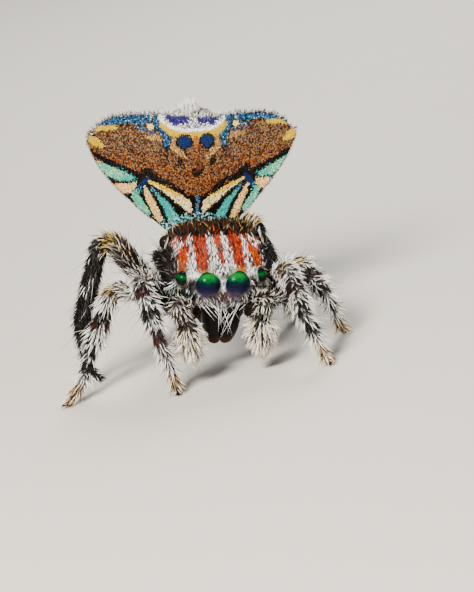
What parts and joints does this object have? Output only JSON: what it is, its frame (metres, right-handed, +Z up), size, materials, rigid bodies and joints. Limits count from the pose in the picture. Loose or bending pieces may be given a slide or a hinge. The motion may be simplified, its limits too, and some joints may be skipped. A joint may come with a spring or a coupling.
{
  "type": "peacock spider",
  "caption": "Still, life-size male peacock spider with raised abdomen spread into a patterned fan, bristly banded legs and pale brush palps.",
  "frame": {"origin": "on the floor, under the middle of the whole spider's bounding box", "axes": "+X to the spider's left, -Y the way the head faces, +Z up"},
  "size_m": [0.0044, 0.0042, 0.0037],
  "materials": {
    "dark_cuticle": "dark brown cuticle under short hairs, orange-red stripes between white ones on the face",
    "banded_cuticle": "black and brown cuticle under white and black bristles",
    "fan_scales": "rust-brown, blue, yellow, cream and black flat scales with a soft sheen",
    "cream_setae": "matt cream-white bristles",
    "eye_lens": "glossy cornea, green above turning to violet below",
    "jaw_cuticle": "shiny black cuticle with a brown tip"
  },
  "bodies": {
    "root": {"carapace": "dark_cuticle", "sternum": "dark_cuticle", "pedicel": "dark_cuticle", "abdomen": "fan_scales", "fan_flap_left": "fan_scales", "fan_flap_right": "fan_scales", "spinnerets": "cream_setae", "chelicera_left": "jaw_cuticle", "chelicera_right": "jaw_cuticle", "palp_left": "cream_setae", "palp_right": "cream_setae", "eye_ame_left": "eye_lens", "eye_ame_right": "eye_lens", "eye_ale_left": "eye_lens", "eye_ale_right": "eye_lens", "eye_pme_left": "eye_lens", "eye_pme_right": "eye_lens", "eye_ple_left": "eye_lens", "eye_ple_right": "eye_lens", "leg_1_left_femur": "banded_cuticle", "leg_1_left_tibia": "banded_cuticle", "leg_1_right_femur": "banded_cuticle", "leg_1_right_tibia": "banded_cuticle", "leg_2_left_femur": "banded_cuticle", "leg_2_left_tibia": "banded_cuticle", "leg_2_right_femur": "banded_cuticle", "leg_2_right_tibia": "banded_cuticle", "leg_3_left_femur": "banded_cuticle", "leg_3_left_tibia": "banded_cuticle", "leg_3_right_femur": "banded_cuticle", "leg_3_right_tibia": "banded_cuticle", "leg_4_left_femur": "banded_cuticle", "leg_4_left_tibia": "banded_cuticle", "leg_4_right_femur": "banded_cuticle", "leg_4_right_tibia": "banded_cuticle"}
  },
  "joints": []
}
